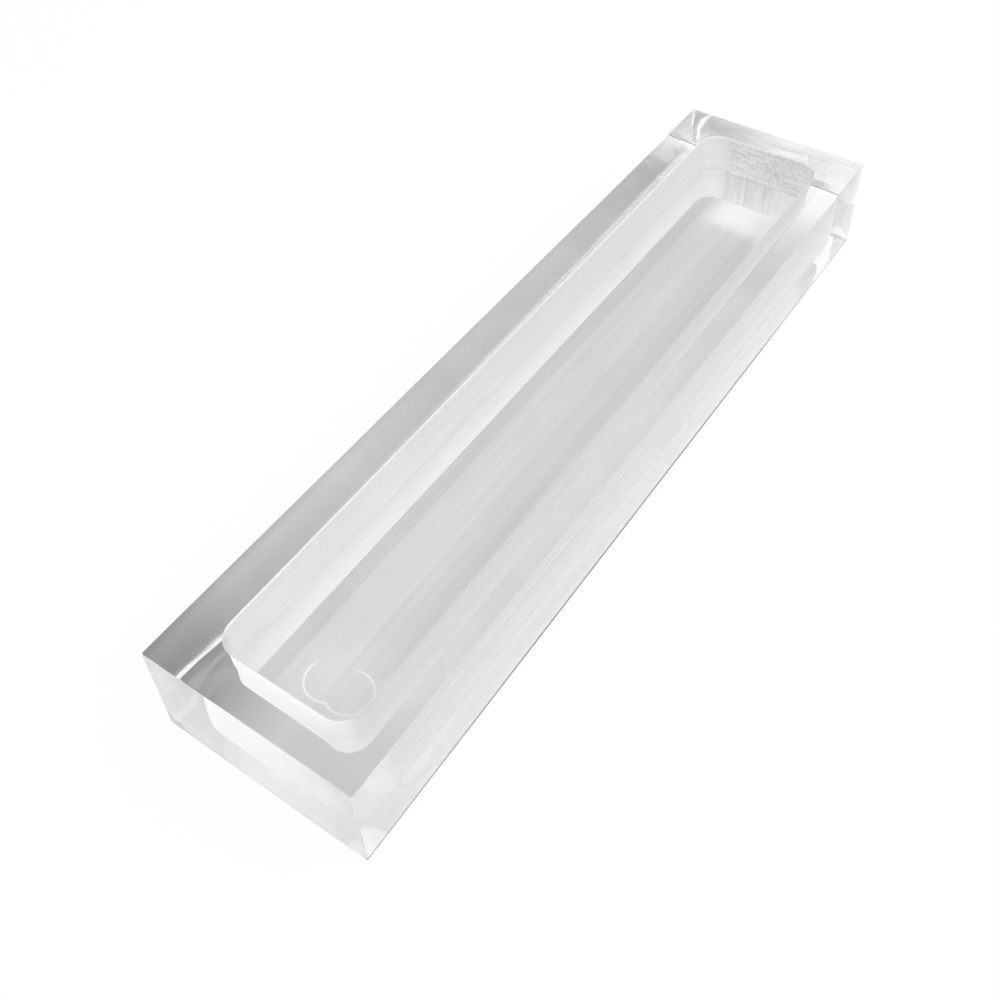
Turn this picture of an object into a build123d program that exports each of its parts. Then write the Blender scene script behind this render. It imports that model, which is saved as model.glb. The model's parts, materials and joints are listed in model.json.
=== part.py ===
from build123d import *
import os

# Soap loaf mould: one block of clear cast acrylic with a long tray milled into its top face.
# Millimetres. +X runs along the block, +Y across it and +Z up. The origin is the middle of the underside.

# The block, sawn from thick sheet
block_length = 254.0
block_width = 60.0
block_height = 30.0
outer_edge_break = 0.2  # chamfer that takes the sharpness off the outer edges

# The tray, which sits a little off centre in the block
wall_at_minus_x = 11.0
wall_at_plus_x = 9.5
wall_at_minus_y = 10.5
wall_at_plus_y = 11.2
floor_thickness = 6.0  # acrylic left under the tray
corner_radius = 6.0  # the milling cutter's radius
rim_break = 0.2  # chamfer along the tray's mouth

# The walls are milled in two depths, and the lower cut stands in slightly, which leaves a witness line
upper_cut_depth = 12.5
lower_cut_inset = 0.3
floor_fillet = 0.5  # radius of the cutter's tip, left where the walls meet the floor

# Sizes that follow from the ones above
tray_length = block_length - wall_at_minus_x - wall_at_plus_x
tray_width = block_width - wall_at_minus_y - wall_at_plus_y
tray_depth = block_height - floor_thickness
tray_centre_x = (wall_at_minus_x - wall_at_plus_x) / 2
tray_centre_y = (wall_at_minus_y - wall_at_plus_y) / 2


def acrylic_block():
    """The solid block, with every outer edge broken by a small chamfer."""
    to_the_base = (Align.CENTER, Align.CENTER, Align.MIN)
    block = Box(block_length, block_width, block_height, align=to_the_base)
    return chamfer(block.edges(), outer_edge_break)


def tray_cut(inset, bottom_z):
    """What one milling depth removes: the tray's outline, moved in by inset, from bottom_z to the rim."""
    outline = RectangleRounded(tray_length - 2 * inset, tray_width - 2 * inset, corner_radius)
    placed = Pos(tray_centre_x, tray_centre_y, bottom_z) * outline
    return extrude(placed, block_height - bottom_z)


def lower_cut():
    """The full-depth cut, rounded where its walls meet the floor."""
    cut = tray_cut(lower_cut_inset, block_height - tray_depth)
    floor_edges = cut.edges().group_by(Axis.Z)[0]
    return fillet(floor_edges, floor_fillet)


def upper_cut():
    """The first, slightly wider cut, from the rim down to the witness line."""
    return tray_cut(0, block_height - upper_cut_depth)


def mouth_cut():
    """A thin wedge around the tray's mouth that breaks its sharp edge."""
    outline = RectangleRounded(tray_length, tray_width, corner_radius)
    wide_outline = RectangleRounded(
        tray_length + 2 * rim_break,
        tray_width + 2 * rim_break,
        corner_radius + rim_break,
    )
    below = Pos(tray_centre_x, tray_centre_y, block_height - rim_break) * outline
    above = Pos(tray_centre_x, tray_centre_y, block_height) * wide_outline
    return loft([below, above])


def mould_block():
    return acrylic_block() - lower_cut() - upper_cut() - mouth_cut()


os.makedirs("parts", exist_ok=True)
export_step(mould_block(), "parts/mould_block.step")
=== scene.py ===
"""The looks of a soap loaf mould: one clear acrylic block with a tray milled into its top face."""
import json
import math

import bmesh
import bpy
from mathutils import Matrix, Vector, noise


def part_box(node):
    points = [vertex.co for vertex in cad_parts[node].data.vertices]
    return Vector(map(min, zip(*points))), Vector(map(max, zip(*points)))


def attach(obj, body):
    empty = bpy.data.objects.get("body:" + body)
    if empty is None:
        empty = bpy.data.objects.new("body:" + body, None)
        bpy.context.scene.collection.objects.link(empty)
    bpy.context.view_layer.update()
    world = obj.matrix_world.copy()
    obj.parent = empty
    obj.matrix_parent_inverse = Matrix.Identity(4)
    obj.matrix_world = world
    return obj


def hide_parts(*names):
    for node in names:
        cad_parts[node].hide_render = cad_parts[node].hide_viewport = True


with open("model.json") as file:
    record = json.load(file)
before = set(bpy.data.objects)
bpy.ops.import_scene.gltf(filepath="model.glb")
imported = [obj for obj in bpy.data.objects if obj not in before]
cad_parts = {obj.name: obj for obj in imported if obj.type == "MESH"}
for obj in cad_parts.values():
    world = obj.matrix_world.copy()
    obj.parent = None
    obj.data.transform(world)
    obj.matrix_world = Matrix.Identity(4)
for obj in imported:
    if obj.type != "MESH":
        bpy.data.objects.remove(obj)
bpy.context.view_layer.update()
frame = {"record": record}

MM = 0.001

# ---- the block's sizes, from the frame ----
low, high = (Vector(corner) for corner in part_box("mould_block"))
opening_low, opening_high = (Vector(corner) for corner in frame["record"]["physics"]["openings"][0]["box_m"])

opening_clearance = 2.5 * MM  # the opening's box stays this far inside the tray's walls
floor_clearance = 0.1 * MM  # and this far above its floor
wall_low = opening_low - Vector((opening_clearance, opening_clearance, floor_clearance))
wall_high = opening_high + Vector((opening_clearance, opening_clearance, 0))
floor_z = wall_low.z
rim_z = high.z

corner_radius = 6.0 * MM
edge_break = 0.2 * MM
mouth_break = 0.35 * MM
upright_edge_radius = 0.3 * MM
upper_cut_depth = 12.5 * MM
lower_cut_inset = 0.3 * MM
floor_fillet = 0.5 * MM
ledge_z = rim_z - upper_cut_depth
ledge_slope = 0.3 * MM  # the ledge between the two cuts is worn to this slope above and below its height

# ---- the cutter's marks ----
cutter_radius = 6.0 * MM
# Places across the tray, measured from the +Y wall, where one pass of the cutter ends and the next begins
pass_edges = [3.6 * MM, 8.1 * MM, 16.2 * MM, 21.1 * MM, 26.5 * MM]
pass_heights = [0.03 * MM, -0.01 * MM, 0.02 * MM, -0.02 * MM, 0.015 * MM, -0.01 * MM]
swirl_centres = [(27.3 * MM, 27.0 * MM), (27.5 * MM, 33.2 * MM)]
swirl_depth = 0.03 * MM

# ---- the mesh's fineness ----
fine_step = 0.35 * MM
medium_step = 0.6 * MM
coarse_step = 1.6 * MM
across_step = 0.35 * MM
near_fine_length = 26 * MM
far_fine_length = 22 * MM
corner_steps = 12

# ---- the places of the materials on the mesh ----
polished_slot, wall_slot, floor_slot, side_slot = range(4)

# ---- the acrylic ----
acrylic_ior = 1.49
# How dark the painted shade along the edges is
edge_tone = 0.03
# How dark the painted shade along the foot edge is, at fractions of the block's length from the -X end
foot_edge_shade = [(0.0, 0.6), (0.25, 0.9), (0.7, 1.0), (0.85, 0.5), (1.0, 0.5)]
side_haze = 0.01
end_haze = 0.12
wall_roughness = 0.7
wall_frost = 0.95
wall_through = 0.25  # the share of the light that the walls scatter straight through
near_wall_through = 0.9
far_wall_through = 0.33
upper_tone_near = 0.91
upper_tone_far = 0.85
lower_tone_near = 1.0
lower_tone_far = 0.96
floor_roughness = 0.7
floor_frost = 0.9
floor_through = 0.5
floor_tone = 0.87
swirl_tone = 0.08
swirl_whiteness = 0.6  # 0 scatters light like the floor round it, 1 lets none of it through
# How bright each pass of the cutter left the floor, at distances in millimetres from the +Y wall
pass_tones = [
    (0.0, 0.88), (4.6, 0.88), (4.9, 0.96), (13.0, 1.0), (16.8, 1.01), (17.1, 0.98),
    (26.6, 0.99), (27.0, 1.03), (38.3, 1.01),
]

# ---- the light and the floor ----
world_light = 0.66
light_bounces = 32
glossy_bounces = 16
diffuse_bounces = 16
lamp_distance = 1.2
lamp_size = 1.0
# Each lamp's azimuth from +X and its elevation in degrees, and its power in watts
front_lamp = (205, 45, 3.5)
side_lamp = (285, 45, 6.0)
back_lamp = (350, 50, 3.0)
floor_half_width = 3.0
floor_gap = 0.3 * MM  # between the floor and the block's underside
floor_colour = 0.9
floor_glow = 0.9  # the share of white where the floor is seen directly
# The painted shadow on the floor where the block covers it: its brightness at fractions of the block's
# length from the -X end
shade_at_plus_y = [
    (0.0, 0.14), (0.12, 0.38), (0.3, 0.49), (0.8, 0.49), (0.88, 0.4),
    (0.92, 0.3), (0.95, 0.42), (0.98, 0.6), (1.0, 0.8),
]
shade_in_middle = [(0.0, 0.5), (0.07, 0.62), (0.13, 0.9), (0.85, 0.65), (0.93, 1.0), (1.0, 0.95)]
shade_at_minus_y = [(0.0, 0.55), (0.15, 0.55), (0.5, 0.58), (0.8, 0.5), (0.9, 0.6), (0.96, 0.8), (1.0, 0.85)]
shade_share = 0.9  # the share of this painted shadow where it is seen directly
shade_inset = 0.8 * MM

# ---- the camera ----
camera_place = (-0.1966, -0.1203, 0.2548)
camera_angles = (43.34, 2.25, -54.77)  # degrees
camera_lens = 43.3
camera_shift = (0.0237, -0.0835)


def smooth_step(value, start, end):
    """0 before start, 1 after end, and a smooth rise between."""
    t = min(max((value - start) / (end - start), 0.0), 1.0)
    return t * t * (3 - 2 * t)


def spread(start, end, step):
    """Evenly spaced numbers from start up to, but not including, end, about a step apart."""
    count = max(1, round((end - start) / step))
    return [start + (end - start) * i / count for i in range(count)]


# ---------------------------------------------------------------- the tray's surfaces
def floor_relief(x, y):
    """How far the floor stands above its nominal height: the passes' steps, the swirl and the feed marks."""
    from_wall = wall_high.y - y
    height = pass_heights[0]
    for edge, before, after in zip(pass_edges, pass_heights, pass_heights[1:]):
        height += (after - before) * smooth_step(from_wall, edge - 0.15 * MM, edge + 0.15 * MM)
    reach = min(math.hypot(x - (low.x + cx), y - (high.y - cy)) for cx, cy in swirl_centres)
    near_end = x < low.x + swirl_centres[1][0] + 3 * MM
    minus_y_half = y < high.y - swirl_centres[1][1]
    if near_end or minus_y_half:
        height -= swirl_depth * max(0.0, 1 - abs(reach - cutter_radius) / (0.45 * MM))
    height += 0.006 * MM * noise.noise(Vector((x / (9 * MM), y / (0.8 * MM), 0)))
    return height


def wall_relief(x, y, z, nx, upper):
    """How deep a wall's marks are: long feed marks, and on the far wall chatter above and streaks below."""
    far = smooth_step(nx, 0.3, 0.9)
    feed_marks = noise.noise(Vector((x / (40 * MM), z / (1.5 * MM), 7.7)))
    if upper:
        chatter = noise.noise(Vector((y / (3.0 * MM), z / (0.6 * MM), 3.1)))
        return (far * 0.05 * chatter + (1 - far) * 0.006 * feed_marks) * MM
    streaks = noise.noise(Vector((y / (0.9 * MM), z / (9 * MM), 5.3)))
    return (far * 0.03 * streaks + (1 - far) * 0.006 * feed_marks) * MM


def tray_columns():
    """The columns of the floor's grid: place along the block, half width and the outline's normal there."""
    inset = lower_cut_inset + floor_fillet
    start, end = wall_low.x + inset, wall_high.x - inset
    half_width = (wall_high.y - wall_low.y) / 2 - inset
    radius = corner_radius - inset
    columns = []
    for i in range(corner_steps):
        angle = math.pi / 2 * i / corner_steps
        columns.append((radius * (1 - math.cos(angle)), radius * (1 - math.sin(angle)), -math.cos(angle)))
    near = [(start + along, half_width - narrower, nx) for along, narrower, nx in columns]
    far = [(end - along, half_width - narrower, -nx) for along, narrower, nx in reversed(columns)]
    near_straight = start + radius
    far_straight = end - radius
    middle = spread(near_straight, near_straight + near_fine_length, fine_step)
    middle += spread(near_straight + near_fine_length, far_straight - far_fine_length, coarse_step)
    middle += spread(far_straight - far_fine_length, far_straight, medium_step) + [far_straight]
    return near + [(x, half_width, 0.0) for x in middle] + far


def across_places():
    """Fractions from -1 to 1 across the tray, with rows close to each side of every pass edge."""
    half_width = (wall_high.y - wall_low.y) / 2 - lower_cut_inset - floor_fillet
    centre = (wall_high.y + wall_low.y) / 2
    places = spread(-1.0, 1.0, across_step / half_width) + [1.0]
    for edge in pass_edges:
        at = (wall_high.y - edge - centre) / half_width
        gap = 0.17 * MM / half_width
        places = [p for p in places if abs(p - at) > 1.5 * gap] + [at - gap, at, at + gap]
    return sorted(places)


def build_floor(bm):
    """The tray's floor as a grid. Returns its outline in order: vertices with the outline's normals."""
    centre = (wall_high.y + wall_low.y) / 2
    columns = tray_columns()
    places = across_places()
    grid = []
    for x, half_width, nx in columns:
        grid.append([bm.verts.new((x, centre + t * half_width, floor_z)) for t in places])
    for left, right in zip(grid, grid[1:]):
        for i in range(len(places) - 1):
            bm.faces.new((left[i], right[i], right[i + 1], left[i + 1])).material_index = floor_slot
    outline = [(v, -1.0, 0.0) for v in grid[0]]
    for line, (x, half_width, nx) in zip(grid[1:-1], columns[1:-1]):
        outline.append((line[-1], nx, math.sqrt(1 - nx * nx)))
    outline += [(v, 1.0, 0.0) for v in reversed(grid[-1])]
    for line, (x, half_width, nx) in reversed(list(zip(grid[1:-1], columns[1:-1]))):
        outline.append((line[0], nx, -math.sqrt(1 - nx * nx)))
    for line in grid[1:-1]:
        for v in line[1:-1]:
            edge_distance = min(v.co.y - line[0].co.y, line[-1].co.y - v.co.y)
            end_distance = min(v.co.x - grid[0][0].co.x, grid[-1][0].co.x - v.co.x)
            fade = smooth_step(min(edge_distance, end_distance), 0, 0.6 * MM)
            v.co.z += fade * floor_relief(v.co.x, v.co.y)
    return outline


def tray_profile():
    """The wall's section, from the floor's outline up to the rim: offset, height and kind of surface."""
    profile = []
    for angle in (30, 60, 90):
        turn = math.radians(angle)
        z = floor_z + floor_fillet * (1 - math.cos(turn))
        profile.append((floor_fillet * math.sin(turn), z, "fillet"))
    ledge_low, ledge_high = ledge_z - ledge_slope, ledge_z + ledge_slope
    for z in spread(floor_z + floor_fillet, ledge_low, 0.8 * MM)[1:] + [ledge_low]:
        profile.append((floor_fillet, z, "lower"))
    wide = floor_fillet + lower_cut_inset
    profile.append((wide, ledge_high, "ledge"))
    for z in spread(ledge_high, rim_z - mouth_break, 0.35 * MM)[1:] + [rim_z - mouth_break]:
        profile.append((wide, z, "upper"))
    for angle in (30, 60, 90):
        turn = math.radians(angle)
        offset = wide + mouth_break * (1 - math.cos(turn))
        profile.append((offset, rim_z - mouth_break * (1 - math.sin(turn)), "mouth"))
    return profile


def bridge(bm, ring, next_ring, material, smooth):
    """A band of quads between two rings with the same number of vertices."""
    for i in range(len(ring)):
        j = (i + 1) % len(ring)
        face = bm.faces.new((ring[i], ring[j], next_ring[j], next_ring[i]))
        face.material_index = material
        face.smooth = smooth


def build_walls(bm, outline):
    """The tray's walls, from the floor's outline to the mouth. Returns the mouth's ring."""
    base = [(v.co.copy(), nx, ny) for v, nx, ny in outline]
    ring = [v for v, nx, ny in outline]
    for offset, z, kind in tray_profile():
        next_ring = []
        for point, nx, ny in base:
            x, y = point.x + offset * nx, point.y + offset * ny
            if kind in ("lower", "upper"):
                edge_distance = min(abs(z - ledge_z), abs(z - rim_z), abs(z - floor_z))
                fade = smooth_step(edge_distance, 0.3 * MM, 0.9 * MM)
                depth = fade * wall_relief(x, y, z, nx, kind == "upper")
                x, y = x + depth * nx, y + depth * ny
            next_ring.append(bm.verts.new((x, y, z)))
        bridge(bm, ring, next_ring, floor_slot if kind == "fillet" else wall_slot, True)
        ring = next_ring
    return ring


# ---------------------------------------------------------------- the block's outside
def outer_ring(bm, inset, z):
    """A rectangle round the block, with small round corners, at one height."""
    radius = upright_edge_radius - inset
    x, y = high.x - upright_edge_radius, high.y - upright_edge_radius
    points = []
    for corner, (sx, sy) in enumerate(((1, 1), (-1, 1), (-1, -1), (1, -1))):
        for i in range(4):
            turn = math.radians(90 * corner + 30 * i)
            points.append(Vector((sx * x + radius * math.cos(turn), sy * y + radius * math.sin(turn), z)))
    ring = []
    for i, point in enumerate(points):
        ring.append(bm.verts.new(point))
        if i % 4 == 3:
            after = points[(i + 1) % len(points)]
            steps = max(1, round((after - point).length / (8 * MM)))
            ring += [bm.verts.new(point.lerp(after, s / steps)) for s in range(1, steps)]
    return ring


def outside_profile():
    """The block's outer section, from the top face down to the underside: inset, height, round or flat."""
    profile = []
    for angle in (30, 60, 90):
        turn = math.radians(angle)
        inset = edge_break * (1 - math.sin(turn))
        profile.append((inset, rim_z - edge_break * (1 - math.cos(turn)), True))
    for part in (0.25, 0.5, 0.75, 1.0):
        profile.append((0.0, rim_z - edge_break - part * (rim_z - low.z - 2 * edge_break), False))
    for angle in (30, 60, 90):
        turn = math.radians(angle)
        inset = edge_break * (1 - math.cos(turn))
        profile.append((inset, low.z + edge_break * (1 - math.sin(turn)), True))
    return profile


def loop_edges(bm, ring):
    """The edges from each vertex of a ring to the next."""
    return [bm.edges.get((ring[i], ring[(i + 1) % len(ring)])) for i in range(len(ring))]


def build_outside(bm, mouth):
    """The outer faces, the rim round the tray's mouth and the underside."""
    ring = top_ring = outer_ring(bm, edge_break, rim_z)
    for inset, z, is_round in outside_profile():
        next_ring = outer_ring(bm, inset, z)
        bridge(bm, ring, next_ring, polished_slot if is_round else side_slot, is_round)
        ring = next_ring
    for edges, up in ((loop_edges(bm, mouth) + loop_edges(bm, top_ring), 1), (loop_edges(bm, ring), -1)):
        filled = bmesh.ops.triangle_fill(bm, edges=edges, use_beauty=True, normal=(0, 0, up))
        for face in filled["geom"]:
            if isinstance(face, bmesh.types.BMFace):
                face.material_index = polished_slot
                face.smooth = False


def build_block():
    """The whole block as one closed mesh."""
    bm = bmesh.new()
    outline = build_floor(bm)
    for face in bm.faces:
        face.smooth = True
    mouth = build_walls(bm, outline)
    build_outside(bm, mouth)
    bmesh.ops.recalc_face_normals(bm, faces=bm.faces)
    mesh = bpy.data.meshes.new("milled_block")
    bm.to_mesh(mesh)
    bm.free()
    mesh.set_sharp_from_angle(angle=math.radians(50))
    block = bpy.data.objects.new("milled_block", mesh)
    bpy.context.scene.collection.objects.link(block)
    return block


# ---------------------------------------------------------------- materials
class Tree:
    """Adds nodes to one node tree. A socket's value is a number, a colour or another node's output."""

    def __init__(self, owner):
        owner.use_nodes = True
        self.tree = owner.node_tree
        self.tree.nodes.clear()

    def add(self, kind, sockets=None, **settings):
        node = self.tree.nodes.new(kind)
        for name, value in settings.items():
            setattr(node, name, value)
        for name, value in (sockets or {}).items():
            if isinstance(value, bpy.types.NodeSocket):
                self.tree.links.new(value, node.inputs[name])
            else:
                node.inputs[name].default_value = value
        return node

    def math(self, operation, a, b=0.0):
        return self.add("ShaderNodeMath", {0: a, 1: b}, operation=operation).outputs[0]

    def ramp(self, value, from_low, from_high, to_low, to_high, smooth=True):
        kind = "SMOOTHSTEP" if smooth else "LINEAR"
        sockets = {0: value, 1: from_low, 2: from_high, 3: to_low, 4: to_high}
        return self.add("ShaderNodeMapRange", sockets, interpolation_type=kind).outputs[0]

    def hypot(self, a, b):
        squares = self.math("ADD", self.math("MULTIPLY", a, a), self.math("MULTIPLY", b, b))
        return self.math("SQRT", squares)

    def mix(self, share, first, second):
        return self.add("ShaderNodeMix", {0: share, 2: first, 3: second}).outputs[0]

    def grey(self, value):
        return self.add("ShaderNodeCombineColor", {0: value, 1: value, 2: value}).outputs[0]

    def curve(self, value, stops):
        """A number that follows stops, pairs of a place from 0 to 1 and the number there."""
        node = self.add("ShaderNodeValToRGB", {0: value})
        elements = node.color_ramp.elements
        while len(elements) < len(stops):
            elements.new(1.0)
        for element, (at, number) in zip(elements, stops):
            element.position = at
            element.color = (number, number, number, 1)
        return node.outputs[0]

    def place(self):
        """Where the point is, in the block's own metres: three outputs and the vector."""
        coordinate = self.add("ShaderNodeTexCoord").outputs["Object"]
        parts = self.add("ShaderNodeSeparateXYZ", {0: coordinate}).outputs
        return coordinate, parts[0], parts[1], parts[2]

    def noise(self, vector, stretch, scale, detail=3.0, rough=0.5):
        """Noise from 0 to 1, whose grain is scaled along each axis by stretch."""
        moved = self.add("ShaderNodeVectorMath", {0: vector, 1: stretch}, operation="MULTIPLY").outputs[0]
        sockets = {"Vector": moved, "Scale": scale, "Detail": detail, "Roughness": rough}
        return self.add("ShaderNodeTexNoise", sockets).outputs["Fac"]

    def bump(self, height, strength, distance):
        sockets = {"Height": height, "Strength": strength, "Distance": distance}
        return self.add("ShaderNodeBump", sockets).outputs[0]

    def finish(self, shader, output="ShaderNodeOutputMaterial"):
        self.add(output, {"Surface": shader.outputs[0]})


def acrylic(tree, tone, frost, through, roughness, normal):
    """Milled acrylic. Its marks scatter the share frost back, and the share through to the other side."""
    colour = tree.grey(tone)
    sockets = {
        "Base Color": colour,
        "Roughness": roughness,
        "IOR": acrylic_ior,
        "Transmission Weight": tree.math("SUBTRACT", 1.0, frost),
        "Normal": normal,
    }
    surface = tree.add("ShaderNodeBsdfPrincipled", sockets)
    veil = tree.add("ShaderNodeBsdfTranslucent", {"Color": colour, "Normal": normal})
    return tree.add("ShaderNodeMixShader", {0: through, 1: surface.outputs[0], 2: veil.outputs[0]})


def clear_material(name, haze, wave_strength):
    """Acrylic that is clear to look through, with some haze on the sanded -X end, and painted shade along
    the foot of the -Y side and the far end, the far top edge and the far -Y corner, where the acrylic is
    also rougher and less clear.
    """
    material = bpy.data.materials.new(name)
    tree = Tree(material)
    vector, x, y, z = tree.place()
    scuffs = tree.noise(vector, (1, 1, 1), 90.0, 6.0, 0.6)
    waves = tree.noise(vector, (12, 12, 60), 6.0, 2.0)
    at_far_end = tree.ramp(x, high.x - 0.45 * MM, high.x - 0.2 * MM, 0.0, 1.0)
    at_minus_y = tree.ramp(y, low.y + 0.45 * MM, low.y + 0.2 * MM, 0.0, 1.0)
    at_bottom = tree.ramp(z, low.z + 1.1 * MM, low.z + 0.7 * MM, 0.0, 1.0)
    at_top = tree.ramp(z, high.z - 0.45 * MM, high.z - 0.2 * MM, 0.0, 1.0)
    # Painted shade: dark lines along these edges, where the acrylic is also rougher and less clear.
    corner = tree.math("MULTIPLY", tree.math("MULTIPLY", at_far_end, at_minus_y), 0.5)
    far_top = tree.math("MULTIPLY", at_far_end, at_top)
    far_top = tree.math("MULTIPLY", far_top, tree.ramp(y, low.y, high.y, 0.2, 0.6))
    along = tree.ramp(x, low.x, high.x, 0.0, 1.0, smooth=False)
    foot = tree.math("MULTIPLY", tree.math("MAXIMUM", at_far_end, at_minus_y), at_bottom)
    foot = tree.math("MULTIPLY", foot, tree.curve(along, foot_edge_shade))
    painted_edge_shade = tree.math("MAXIMUM", tree.math("MAXIMUM", corner, far_top), foot)
    sanded = tree.ramp(x, low.x + 0.1 * MM, low.x + 0.05 * MM, 0.0, end_haze)
    roughness = tree.math("ADD", tree.ramp(scuffs, 0.45, 0.8, haze, haze + 0.04), sanded)
    sockets = {
        "Base Color": tree.grey(tree.ramp(painted_edge_shade, 0.0, 1.0, 1.0, edge_tone)),
        "Roughness": tree.mix(painted_edge_shade, roughness, 0.8),
        "IOR": acrylic_ior,
        "Transmission Weight": tree.ramp(painted_edge_shade, 0.0, 1.0, 1.0, 0.3),
        "Normal": tree.bump(waves, wave_strength, 0.05 * MM),
    }
    tree.finish(tree.add("ShaderNodeBsdfPrincipled", sockets))
    return material


def polished_material():
    """The top face and the underside, and the broken edges."""
    return clear_material("polished_acrylic", 0.0, 0.15)


def side_material():
    """The outer sides, not quite as clear as the top."""
    return clear_material("satin_acrylic", side_haze, 0.06)


def wall_material():
    """The tray's walls, milled in two depths."""
    material = bpy.data.materials.new("milled_wall")
    tree = Tree(material)
    vector, x, y, z = tree.place()
    is_far = tree.ramp(x, wall_high.x - 6 * MM, wall_high.x - 2 * MM, 0.0, 1.0)
    is_near = tree.ramp(x, wall_low.x + 5 * MM, wall_low.x + 1 * MM, 0.0, 1.0)
    wander = tree.noise(vector, (0.3, 1, 1), 120.0, 3.0)
    seam = tree.math("ADD", z, tree.ramp(wander, 0.3, 0.7, -0.4 * MM, 0.4 * MM))
    lower = tree.ramp(seam, ledge_z + 0.6 * MM, ledge_z - 0.6 * MM, 0.0, 1.0)

    upper_tone = tree.ramp(x, low.x, high.x, upper_tone_near, upper_tone_far, smooth=False)
    lower_tone = tree.ramp(x, low.x, high.x, lower_tone_near, lower_tone_far, smooth=False)
    rising = tree.ramp(seam, floor_z + 1 * MM, ledge_z, 0.0, 0.12, smooth=False)
    tone = tree.mix(lower, upper_tone, tree.math("SUBTRACT", lower_tone, rising))
    off_seam = tree.math("ABSOLUTE", tree.math("SUBTRACT", seam, ledge_z))
    seam_line = tree.ramp(off_seam, 0.45 * MM, 0.1 * MM, 0.0, 1.0)
    # The seam line is darker, except on the -Y wall, where it has a painted highlight and lets more light
    # through.
    is_minus_y = tree.ramp(y, wall_low.y + 3 * MM, wall_low.y + 1 * MM, 0.0, 1.0)
    seam_dark_and_highlight = tree.ramp(is_minus_y, 0.0, 1.0, -0.07, 0.15)
    tone = tree.math("ADD", tone, tree.math("MULTIPLY", seam_line, seam_dark_and_highlight))
    feed_marks = tree.noise(vector, (0.04, 1, 1), 700.0, 4.0, 0.65)
    tone = tree.math("ADD", tone, tree.ramp(feed_marks, 0.3, 0.7, -0.03, 0.02))
    grain = tree.noise(vector, (1, 1, 1), 1500.0, 2.0)
    tone = tree.math("ADD", tone, tree.ramp(grain, 0.3, 0.7, -0.03, 0.02))

    chatter = tree.noise(vector, (1, 0.12, 1.2), 700.0, 4.0, 0.7)
    # Painted glints: specks lighter and darker than the wall, standing in for light glinting off the
    # chatter.
    sparkle = tree.noise(vector, (1, 1, 1), 1400.0, 3.0, 0.7)
    glints = tree.ramp(sparkle, 0.35, 0.7, -0.13, 0.08)
    rough_cut_and_glints = tree.math("ADD", tree.ramp(chatter, 0.3, 0.7, -0.13, 0.1), glints)
    streaks = tree.noise(vector, (1, 1, 0.08), 900.0, 4.0, 0.6)
    rightwards = tree.ramp(y, wall_high.y - 20 * MM, wall_low.y + 6 * MM, 0.0, 0.16)
    fine_cut = tree.math("ADD", tree.ramp(streaks, 0.3, 0.7, -0.18, -0.02), rightwards)
    past_corner = tree.ramp(y, wall_high.y - 5 * MM, wall_high.y - 9 * MM, 0.0, 1.0)
    far_marks_and_glints = tree.math("MULTIPLY", tree.mix(lower, rough_cut_and_glints, fine_cut), past_corner)
    tone = tree.math("ADD", tone, tree.math("MULTIPLY", far_marks_and_glints, is_far))
    # Painted light: both end walls are lighter, standing in for the light that comes through them.
    is_end = tree.math("MAXIMUM", is_near, is_far)
    tone = tree.math("ADD", tone, tree.math("MULTIPLY", is_end, 0.08))
    tone = tree.math("MINIMUM", tone, 1.0)

    at_foot = tree.ramp(seam, floor_z + 0.5 * MM, ledge_z, 0.0, wall_through)
    far_foot = tree.math("MULTIPLY", tree.math("MULTIPLY", lower, rightwards), 1.6)
    at_far_foot = tree.math("SUBTRACT", far_wall_through, far_foot)
    through = tree.mix(is_near, tree.mix(is_far, at_foot, at_far_foot), near_wall_through)
    through = tree.mix(tree.math("MULTIPLY", seam_line, is_minus_y), through, near_wall_through)
    height = tree.mix(is_far, feed_marks, tree.mix(lower, chatter, streaks))
    tree.finish(acrylic(tree, tone, wall_frost, through, wall_roughness, tree.bump(height, 0.3, 0.1 * MM)))
    return material


def swirl_outline(tree, x, y):
    """1 along the outline of the two overlapping rings that the cutter left near the -X end, 0 elsewhere."""
    reaches = []
    for centre_x, centre_y in swirl_centres:
        along = tree.math("SUBTRACT", x, low.x + centre_x)
        across = tree.math("SUBTRACT", y, high.y - centre_y)
        reaches.append(tree.hypot(along, across))
    nearer = tree.math("MINIMUM", *reaches)
    off_outline = tree.math("ABSOLUTE", tree.math("SUBTRACT", nearer, cutter_radius))
    outline = tree.ramp(off_outline, 0.4 * MM, 0.1 * MM, 0.0, 1.0)
    # The +Y ring fades out past its centre. The -Y ring goes on to its far side
    first_x = low.x + swirl_centres[0][0]
    further = tree.ramp(y, high.y - 30 * MM, high.y - 33 * MM, 0.0, 8 * MM)
    fading = tree.ramp(tree.math("SUBTRACT", x, further), first_x + 4 * MM, first_x + 1 * MM, 0.0, 1.0)
    return tree.math("MULTIPLY", outline, fading)


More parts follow.
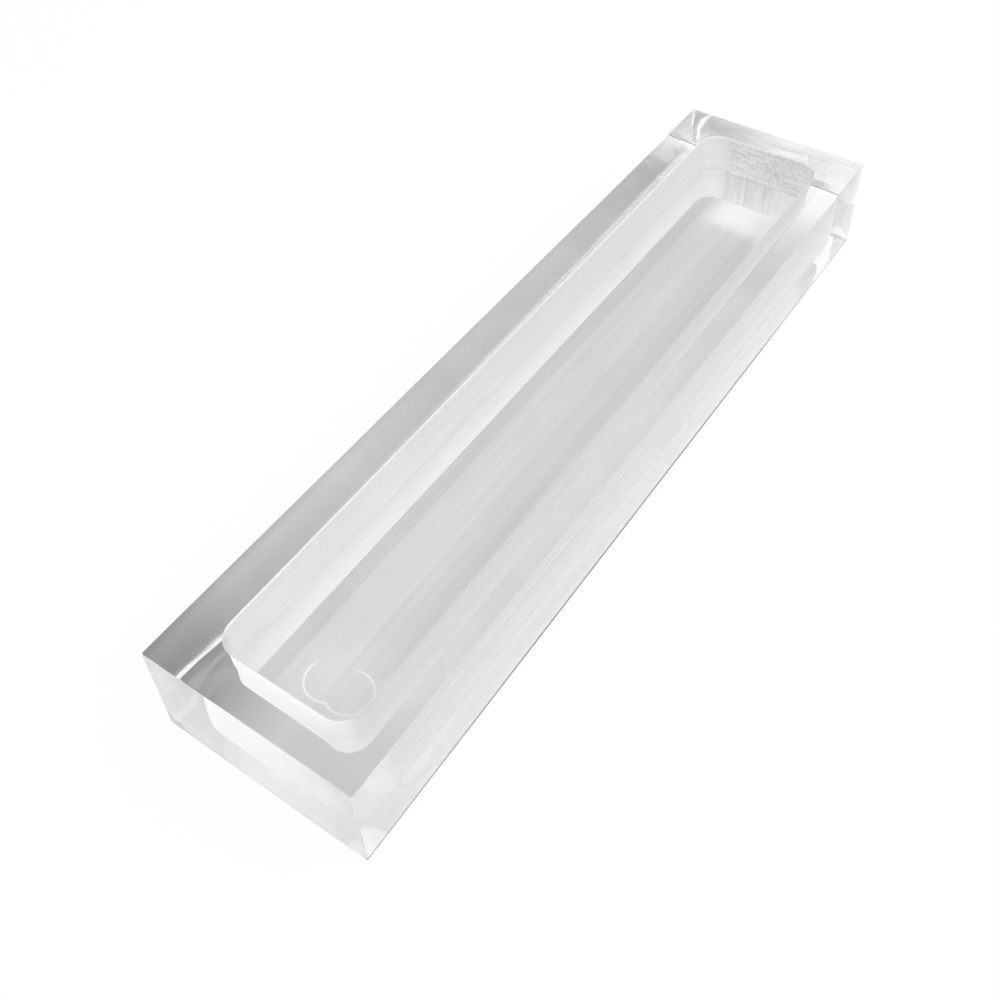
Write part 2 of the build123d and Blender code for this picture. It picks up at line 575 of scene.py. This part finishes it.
def floor_material():
    """The tray's floor, milled in long passes."""
    material = bpy.data.materials.new("milled_floor")
    tree = Tree(material)
    vector, x, y, z = tree.place()
    width = wall_high.y - wall_low.y
    wander = tree.noise(vector, (1, 0.2, 1), 25.0, 3.0)
    moved = tree.math("ADD", y, tree.ramp(wander, 0.3, 0.7, -0.3 * MM, 0.3 * MM))
    across = tree.ramp(moved, wall_high.y, wall_low.y, 0.0, 1.0, smooth=False)
    passes = tree.curve(across, [(at * MM / width, tone * 0.5) for at, tone in pass_tones])
    tone = tree.math("MULTIPLY", passes, 2.0 * floor_tone)

    streaks = tree.noise(vector, (0.03, 1, 1), 700.0, 5.0, 0.65)
    tone = tree.math("ADD", tone, tree.ramp(streaks, 0.3, 0.7, -0.025, 0.02))
    clouds = tree.noise(vector, (0.5, 1, 1), 60.0, 4.0, 0.6)
    tone = tree.math("ADD", tone, tree.ramp(clouds, 0.3, 0.7, -0.015, 0.015))
    grain = tree.noise(vector, (1, 1, 1), 1500.0, 2.0)
    tone = tree.math("ADD", tone, tree.ramp(grain, 0.3, 0.7, -0.02, 0.02))
    tone = tree.math("ADD", tone, tree.ramp(x, wall_low.x + 34 * MM, wall_low.x + 12 * MM, 0.0, 0.1))
    swirl = swirl_outline(tree, x, y)
    tone = tree.math("ADD", tone, tree.math("MULTIPLY", swirl, swirl_tone))

    # At the far end the floor is frosted whiter, and has a painted pool of light where light through the far
    # wall falls on it.
    flames = tree.noise(vector, (0.25, 1, 1), 300.0, 4.0, 0.6)
    reach = tree.math("ADD", x, tree.ramp(flames, 0.3, 0.7, -1.5 * MM, 1.5 * MM))
    far_light_pool = tree.ramp(reach, wall_high.x - 18 * MM, wall_high.x - 5 * MM, 0.0, 1.0)
    left_end = tree.ramp(y, wall_high.y - 4 * MM, wall_high.y - 14 * MM, 0.2, 1.0)
    far_light_pool = tree.math("MULTIPLY", far_light_pool, left_end)
    tone = tree.math("ADD", tone, tree.math("MULTIPLY", far_light_pool, 0.25))
    tone = tree.math("MINIMUM", tone, 1.0)
    whiter = tree.math("MAXIMUM", far_light_pool, tree.math("MULTIPLY", swirl, swirl_whiteness))
    through = tree.mix(whiter, floor_through, 0.0)
    frost = tree.mix(whiter, floor_frost, 1.0)
    tree.finish(acrylic(tree, tone, frost, through, floor_roughness, tree.bump(streaks, 0.3, 0.1 * MM)))
    return material


# ---------------------------------------------------------------- the surroundings
def seen_directly(tree):
    """1 for rays from the camera, a reflection or glass, which show the white background."""
    path = tree.add("ShaderNodeLightPath").outputs
    both = tree.math("MAXIMUM", path["Is Camera Ray"], path["Is Glossy Ray"])
    return tree.math("MAXIMUM", both, path["Is Transmission Ray"])


def footprint_distance(tree, x, y):
    """How far a point of the floor is from the block's footprint, in metres. It is 0 under the block."""
    past_x = tree.math("SUBTRACT", tree.math("ABSOLUTE", x), high.x - shade_inset)
    past_y = tree.math("SUBTRACT", tree.math("ABSOLUTE", y), high.y - shade_inset)
    return tree.hypot(tree.math("MAXIMUM", past_x, 0.0), tree.math("MAXIMUM", past_y, 0.0))


def floor_surface():
    """The pale floor. Where the block covers it, it has a painted shadow in greys, which is seen through the
    block.
    """
    material = bpy.data.materials.new("pale_floor")
    tree = Tree(material)
    vector, x, y, z = tree.place()
    outside = tree.ramp(footprint_distance(tree, x, y), 0.0, 0.5 * MM, 0.0, 1.0)
    along = tree.ramp(x, low.x, high.x, 0.0, 1.0, smooth=False)
    to_plus_y = tree.ramp(y, 0.0, high.y, 0.0, 1.0, smooth=False)
    to_minus_y = tree.ramp(y, 0.0, low.y, 0.0, 1.0, smooth=False)
    shade = tree.mix(to_plus_y, tree.curve(along, shade_in_middle), tree.curve(along, shade_at_plus_y))
    shade = tree.mix(to_minus_y, shade, tree.curve(along, shade_at_minus_y))
    # The painted shadow is mottled a little.
    clouds = tree.noise(vector, (0.6, 1, 1), 35.0, 4.0, 0.6)
    shade = tree.math("MULTIPLY", shade, tree.ramp(clouds, 0.3, 0.7, 0.93, 1.07))
    colour = tree.grey(tree.mix(outside, shade, floor_colour))
    diffuse = tree.add("ShaderNodeBsdfDiffuse", {"Color": colour})
    seen_colour = tree.grey(tree.mix(outside, shade, 1.0))
    glow = tree.add("ShaderNodeEmission", {"Color": seen_colour, "Strength": 1.0})
    share = tree.math("MULTIPLY", seen_directly(tree), tree.mix(outside, shade_share, floor_glow))
    tree.finish(tree.add("ShaderNodeMixShader", {0: share, 1: diffuse.outputs[0], 2: glow.outputs[0]}))
    return material


def build_floor_plane():
    """The floor, wide enough to fill the picture's lower part."""
    mesh = bpy.data.meshes.new("pale_floor")
    half, z = floor_half_width, low.z - floor_gap
    corners = [(-half, -half, z), (half, -half, z), (half, half, z), (-half, half, z)]
    mesh.from_pydata(corners, [], [(0, 1, 2, 3)])
    mesh.materials.append(floor_surface())
    plane = bpy.data.objects.new("pale_floor", mesh)
    bpy.context.scene.collection.objects.link(plane)


def light_world():
    """Even light from all round, with a white background."""
    world = bpy.data.worlds.new("studio")
    bpy.context.scene.world = world
    tree = Tree(world)
    strength = tree.ramp(seen_directly(tree), 0.0, 1.0, world_light, 1.0)
    background = tree.add("ShaderNodeBackground", {"Color": (1, 1, 1, 1), "Strength": strength})
    tree.finish(background, "ShaderNodeOutputWorld")


def area_lamp(name, azimuth, elevation, power):
    """A soft lamp that faces the block."""
    data = bpy.data.lights.new(name, "AREA")
    data.energy = power
    data.size = lamp_size
    lamp = bpy.data.objects.new(name, data)
    turn, lift = math.radians(azimuth), math.radians(elevation)
    towards = Vector((math.cos(lift) * math.cos(turn), math.cos(lift) * math.sin(turn), math.sin(lift)))
    lamp.location = lamp_distance * towards
    lamp.rotation_euler = (-towards).to_track_quat("-Z", "Y").to_euler()
    bpy.context.scene.collection.objects.link(lamp)


def place_camera():
    """The camera looks down at the block from its -X and -Y side."""
    data = bpy.data.cameras.new("camera")
    data.lens = camera_lens
    data.sensor_width = 36
    data.shift_x, data.shift_y = camera_shift
    data.clip_start = 0.01
    camera = bpy.data.objects.new("camera", data)
    camera.location = camera_place
    camera.rotation_euler = [math.radians(angle) for angle in camera_angles]
    bpy.context.scene.collection.objects.link(camera)
    bpy.context.scene.camera = camera


bpy.context.scene.view_settings.view_transform = "Standard"
bpy.context.scene.cycles.max_bounces = light_bounces
bpy.context.scene.cycles.transmission_bounces = light_bounces
bpy.context.scene.cycles.glossy_bounces = glossy_bounces
bpy.context.scene.cycles.diffuse_bounces = diffuse_bounces
place_camera()
light_world()
area_lamp("front", *front_lamp)
area_lamp("side", *side_lamp)
area_lamp("back", *back_lamp)
build_floor_plane()

block = build_block()
for make in (polished_material, wall_material, floor_material, side_material):
    block.data.materials.append(make())
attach(block, "root")
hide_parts("mould_block")
